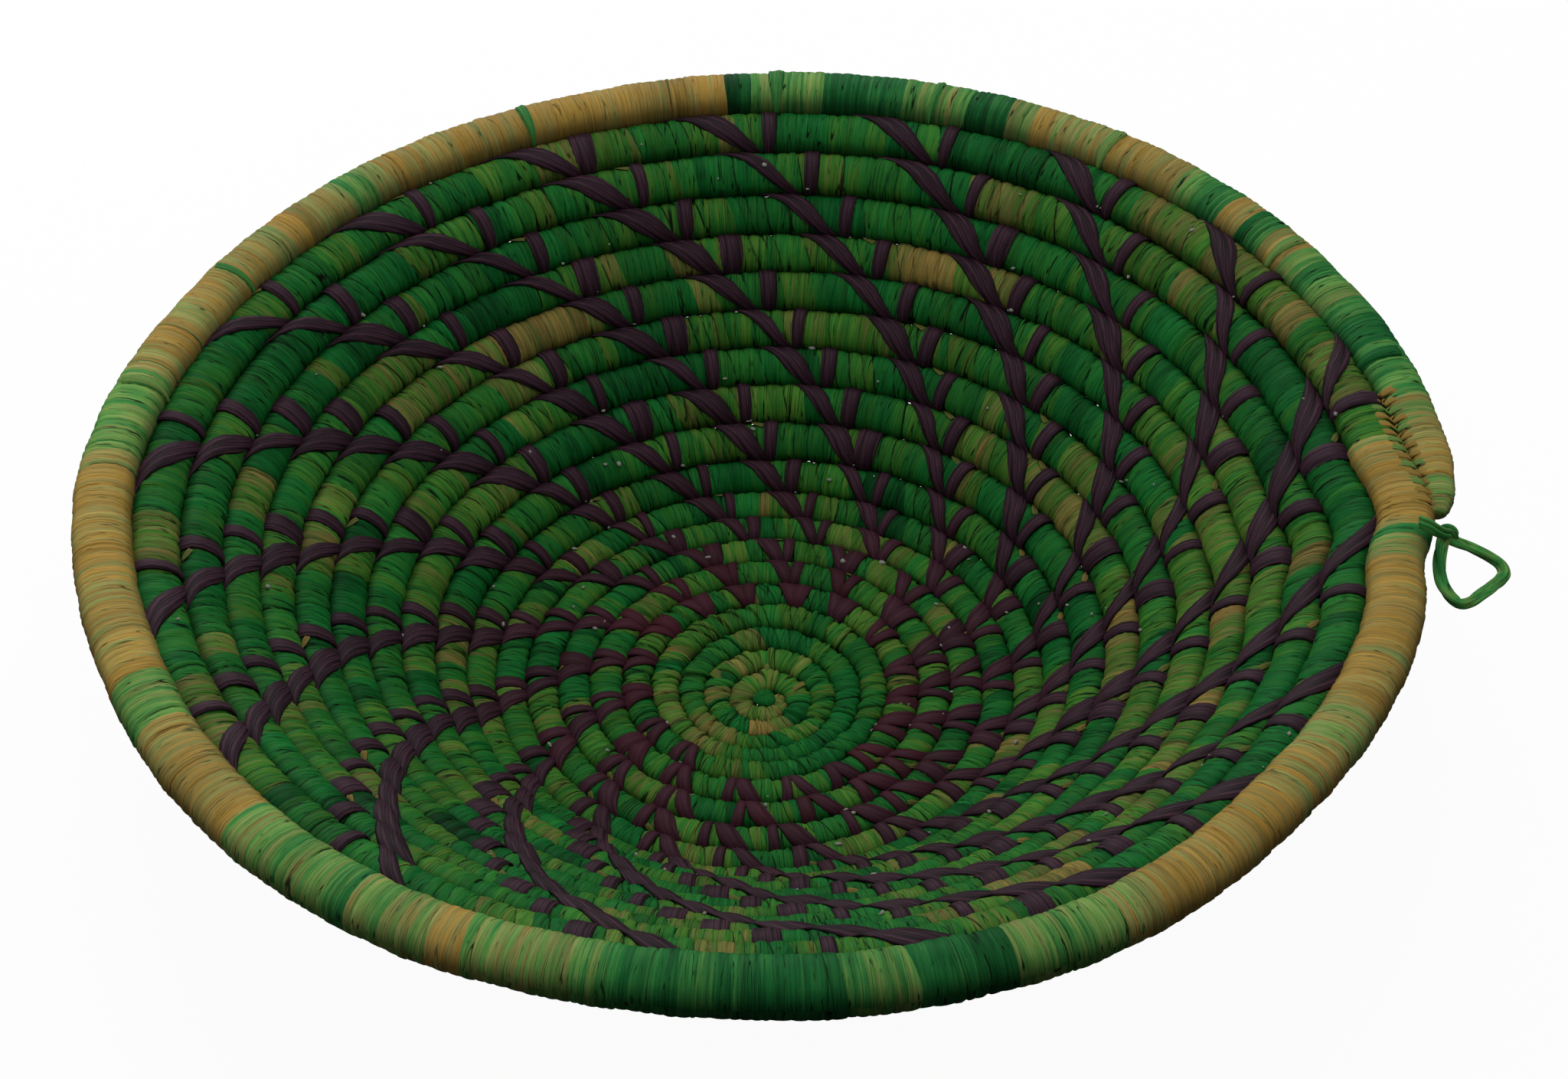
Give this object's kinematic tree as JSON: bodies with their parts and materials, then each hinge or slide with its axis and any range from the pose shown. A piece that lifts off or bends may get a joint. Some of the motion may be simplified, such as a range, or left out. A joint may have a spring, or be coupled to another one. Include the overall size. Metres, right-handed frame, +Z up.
{
  "type": "coiled raffia bowl basket",
  "caption": "Shallow round bowl basket, wound from one raffia-bound grass strand sewn with plum stitches, with a bound rim and a small hanging loop.",
  "frame": {"origin": "middle of the resting base, on the surface the bowl stands on", "axes": "+Z up out of the bowl's mouth, +X towards the side with the tail and the hanging loop"},
  "size_m": [0.3044, 0.2982, 0.0722],
  "materials": {
    "green_raffia": "dyed raffia strips bound round grass, satin along the fibre",
    "plum_raffia": "dark plum dyed raffia strips, satin along the fibre",
    "rim_raffia": "unevenly dyed tan and green raffia strips",
    "loop_raffia": "twisted green raffia cord"
  },
  "bodies": {
    "basket": {"bound_strand": "green_raffia", "centre_knot": "green_raffia", "tail_binding": "rim_raffia", "rim_binding_01": "rim_raffia", "rim_binding_02": "rim_raffia", "rim_binding_03": "rim_raffia", "rim_binding_04": "rim_raffia", "rim_binding_05": "rim_raffia", "rim_binding_06": "rim_raffia", "rim_binding_07": "rim_raffia", "rim_binding_08": "rim_raffia", "rim_binding_09": "rim_raffia", "rim_binding_10": "rim_raffia", "loop_binding": "rim_raffia", "rim_binding_11": "rim_raffia", "plum_stitches_round_01": "plum_raffia", "plum_stitches_round_02": "plum_raffia", "plum_stitches_round_03": "plum_raffia", "plum_stitches_round_04": "plum_raffia", "plum_stitches_round_05": "plum_raffia", "plum_stitches_round_06": "plum_raffia", "plum_stitches_round_07": "plum_raffia", "plum_stitches_round_08": "plum_raffia", "plum_stitches_round_09": "plum_raffia", "plum_stitches_round_10": "plum_raffia", "plum_stitches_round_11": "plum_raffia", "plum_stitches_round_12": "plum_raffia", "plum_stitches_round_13": "plum_raffia", "plum_stitches_round_14": "plum_raffia", "plum_stitches_round_15": "plum_raffia", "tail_seam": "rim_raffia", "loop_anchor": "loop_raffia", "loop_knot": "loop_raffia"},
    "loop": {"hanging_loop": "loop_raffia"}
  },
  "joints": [
    {"name": "loop_swing", "type": "hinge", "parent": "basket", "child": "loop", "pos_m": [0.141, -0.02664, 0.0579], "axis": [0.1857, 0.9826, 0], "range_deg": [-105, 75]}
  ]
}
